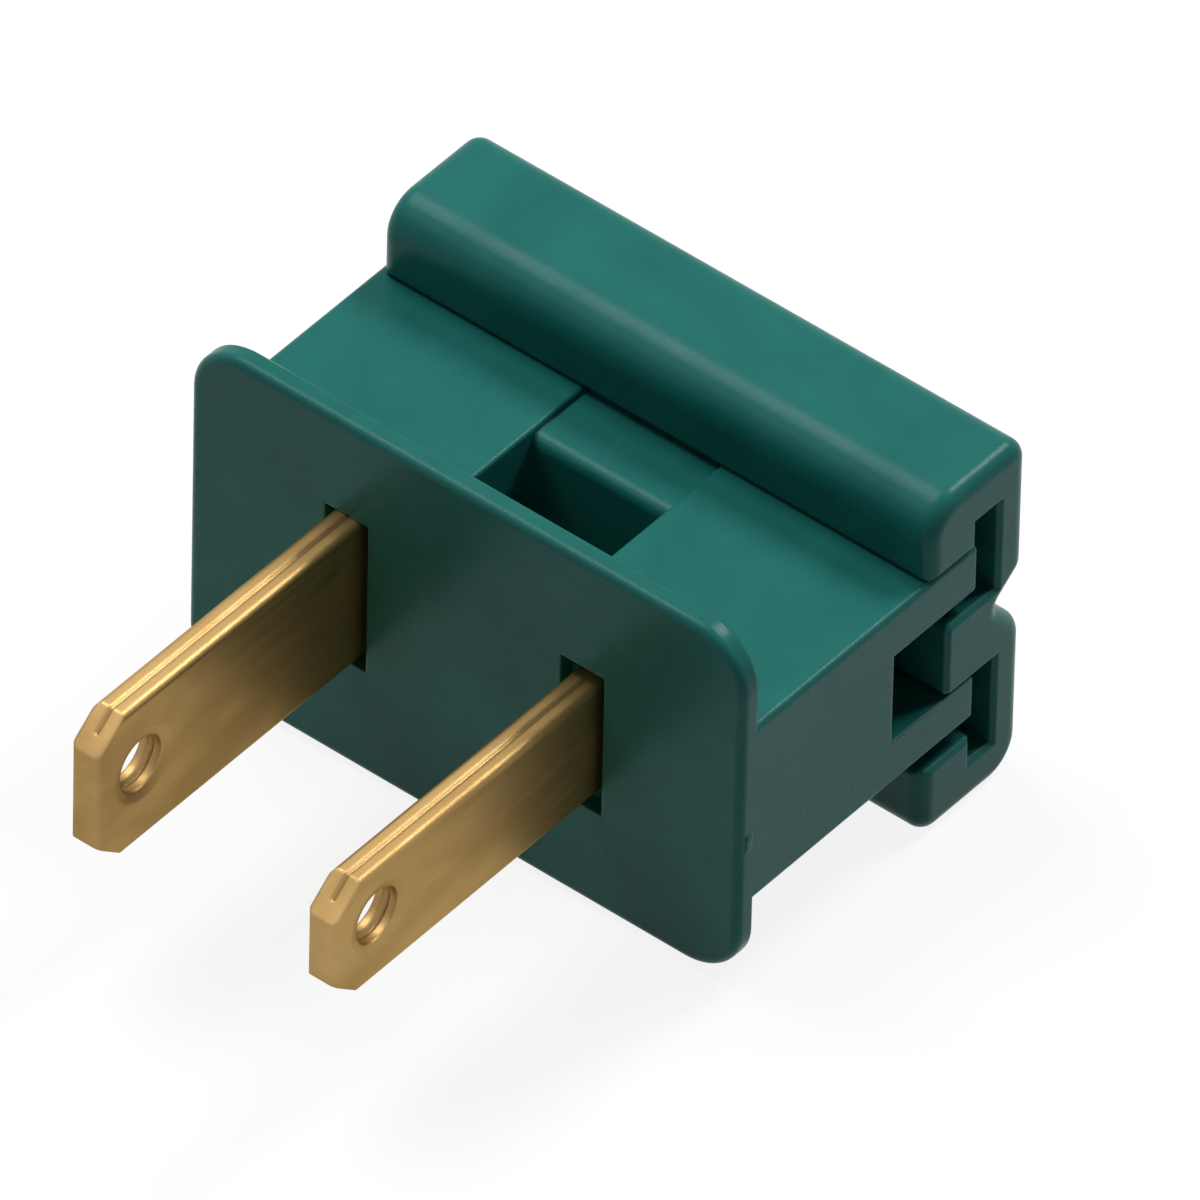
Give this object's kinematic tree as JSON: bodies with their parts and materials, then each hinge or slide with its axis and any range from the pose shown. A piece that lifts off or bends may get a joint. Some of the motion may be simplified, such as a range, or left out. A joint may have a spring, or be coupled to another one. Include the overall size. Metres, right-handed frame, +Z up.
{
  "type": "type a plug",
  "caption": "Polarised flat-blade mains plug for flat two-core cord: a flanged base with piercing brass blades and a cover that slides along rails to press the cord on to them.",
  "frame": {"origin": "centre of the flange's front face, which meets the outlet", "axes": "+X along the plug's long side and the cover's slide, towards the narrow blade; -Y along the blades, into the outlet; +Z up"},
  "size_m": [0.0297, 0.0355, 0.0194],
  "materials": {
    "green_moulding": "moulded semi-matte, dark blue-green",
    "blade_brass": "rolled strip, softly brushed along the blade"
  },
  "bodies": {
    "plug": {"base_housing": "green_moulding", "wide_blade": "blade_brass", "narrow_blade": "blade_brass"},
    "cover": {"slide_cover": "green_moulding"}
  },
  "joints": [
    {"name": "cover_slide", "type": "slide", "parent": "plug", "child": "cover", "axis": [1, 0, 0], "range_m": [-0.02645, 0.02615]}
  ]
}
